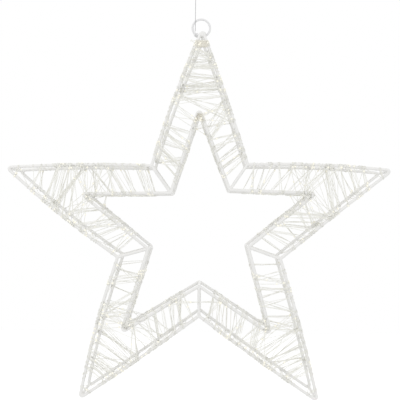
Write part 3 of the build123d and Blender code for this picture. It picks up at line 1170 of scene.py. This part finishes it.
class WIRESTAR_OT_coat(bpy.types.Operator):
    """Gives the rods and the hanging ring their white powder coat"""

    bl_idname = "wirestar.coat"
    bl_label = "Coat the frame"

    def execute(self, context):
        settings = context.scene.star_coat
        coat = powder_coat("white_powder_coat", settings.colour, settings.roughness)
        ring_coat = powder_coat("white_ring_coat", settings.ring_colour, settings.roughness)
        coated = [name for name in CAD_NODES if name.endswith(("outline", "spacer", "strut", "ring"))]
        require(len(coated) == 35, f"the frame has 34 rods and a ring, but {len(coated)} nodes were found")
        for name in coated:
            node = CAD_NODES[name]
            chosen = ring_coat if name == "hanging_ring" else coat
            if not node.material_slots:
                node.data.materials.append(chosen)
            for holder in node.material_slots:
                holder.material = chosen
        return {"FINISHED"}


class WIRESTAR_OT_welds(bpy.types.Operator):
    """Adds the small coated weld beads where rods meet"""

    bl_idname = "wirestar.welds"
    bl_label = "Add the weld beads"

    def execute(self, context):
        radius = context.scene.star_coat.bead_radius
        dice = random.Random(31)
        centre = Vector((STAR_CENTRE.x, 0, STAR_CENTRE.z))
        lumps = []
        for index in range(CORNERS):
            inner_shift = BEAD_SHIFT if index % 2 == 0 else -BEAD_SHIFT
            for depth, lean in ((FRONT_DEPTH, BEAD_LEAN), (BACK_DEPTH, -BEAD_LEAN)):
                for bend, shift in ((OUTER_BENDS[index], BEAD_SHIFT), (INNER_BENDS[index], inner_shift)):
                    place = bend + (centre - bend).normalized() * shift
                    place = place + Vector((0, depth, 0)) + Vector((0, lean, 0))
                    lumps.append((place, (radius, radius * BEAD_FLATNESS, radius)))
        lumps.append((OUTER_CORNERS[0] + Vector(APEX_WELD_PLACE), APEX_WELD_SIZE))

        beads = bmesh.new()
        for place, size in lumps:
            made = bmesh.ops.create_icosphere(beads, subdivisions=2, radius=1.0)["verts"]
            offset = Vector((dice.uniform(-9, 9), dice.uniform(-9, 9), dice.uniform(-9, 9)))
            stretch = [part * dice.uniform(*BEAD_STRETCH) for part in size]
            for vertex in made:
                swell = 1.0 + BEAD_LUMPINESS * noise.noise(vertex.co * BEAD_GRAIN + offset)
                vertex.co = place + Vector(a * b for a, b in zip(vertex.co, stretch)) * swell
        mesh = bpy.data.meshes.new("weld_beads")
        beads.to_mesh(mesh)
        beads.free()
        new_piece("weld_beads", mesh, bpy.data.materials["white_powder_coat"], "star")
        return {"FINISHED"}


class WIRESTAR_OT_light_wire(bpy.types.Operator):
    """Winds the light wire over the arms of the star"""

    bl_idname = "wirestar.light_wire"
    bl_label = "Wind the light wire"

    def execute(self, context):
        settings = context.scene.star_wire
        finish = light_wire_finish(settings)
        for arm in range(len(ARMS)):
            for node, (winders, _) in wind_arm(arm, settings).items():
                skin = Skin()
                for winder in winders:
                    skin.tube(winder.points, settings.diameter / 2, WIRE_SIDES, WIRE_TWIST)
                piece = new_piece(f"{node}_wire", skin.mesh(node), finish, "star")
                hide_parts(node)
        return {"FINISHED"}


class WIRESTAR_OT_light_drops(bpy.types.Operator):
    """Moulds the light drops on the wire"""

    bl_idname = "wirestar.light_drops"
    bl_label = "Add the light drops"

    def execute(self, context):
        wire = context.scene.star_wire
        settings = context.scene.star_drops
        finish = light_drop_finish(settings)
        foremost, hindmost = CAD_BOX[0][1] + DROP_MARGIN, CAD_BOX[1][1] - DROP_MARGIN
        for arm, arm_name in enumerate(ARMS):
            skin = Skin()
            dice = random.Random(500 + arm)
            for winders, clusters in wind_arm(arm, wire).values():
                places = []
                for winder in winders:
                    places += drops_on_spans(winder, settings.per_wire, dice)
                places += drops_in_clusters(winders, clusters, dice)
                for centre, way in places:
                    size = dice.uniform(*DROP_SIZES)
                    centre.y = min(max(centre.y, foremost), hindmost)
                    skin.drop(centre, way, settings.length * size, settings.diameter / 2 * size)
            name = f"{arm_name}_light_drops"
            piece = new_piece(f"{name}_resin", skin.mesh(name), finish, "star")
            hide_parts(name)
        return {"FINISHED"}


class WIRESTAR_PT_panel(bpy.types.Panel):
    """Lists the steps that dress the wire star"""

    bl_idname = "WIRESTAR_PT_panel"
    bl_label = "Wire star"
    bl_space_type = "VIEW_3D"
    bl_region_type = "UI"
    bl_category = "Wire star"

    def draw(self, context):
        scene = context.scene
        for operator, settings in (
            (WIRESTAR_OT_stage, scene.star_stage),
            (WIRESTAR_OT_thread, scene.star_thread),
            (WIRESTAR_OT_coat, scene.star_coat),
            (WIRESTAR_OT_welds, None),
            (WIRESTAR_OT_light_wire, scene.star_wire),
            (WIRESTAR_OT_light_drops, scene.star_drops),
        ):
            box = self.layout.box()
            box.operator(operator.bl_idname)
            if settings:
                for name in settings.__annotations__:
                    box.prop(settings, name)


SETTINGS = {
    "star_stage": StarStageSettings,
    "star_thread": StarThreadSettings,
    "star_coat": StarCoatSettings,
    "star_wire": StarWireSettings,
    "star_drops": StarDropSettings,
}
CLASSES = (
    *SETTINGS.values(),
    WIRESTAR_OT_stage,
    WIRESTAR_OT_thread,
    WIRESTAR_OT_coat,
    WIRESTAR_OT_welds,
    WIRESTAR_OT_light_wire,
    WIRESTAR_OT_light_drops,
    WIRESTAR_PT_panel,
)


def register():
    for cls in CLASSES:
        bpy.utils.register_class(cls)
    for name, cls in SETTINGS.items():
        setattr(bpy.types.Scene, name, bpy.props.PointerProperty(type=cls))


def unregister():
    for name in SETTINGS:
        delattr(bpy.types.Scene, name)
    for cls in reversed(CLASSES):
        bpy.utils.unregister_class(cls)


def main():
    register()
    bpy.ops.wirestar.stage()
    bpy.ops.wirestar.thread()
    bpy.ops.wirestar.coat()
    bpy.ops.wirestar.welds()
    bpy.ops.wirestar.light_wire()
    bpy.ops.wirestar.light_drops()
    bpy.context.view_layer.update()


if __name__ == "__main__":
    main()
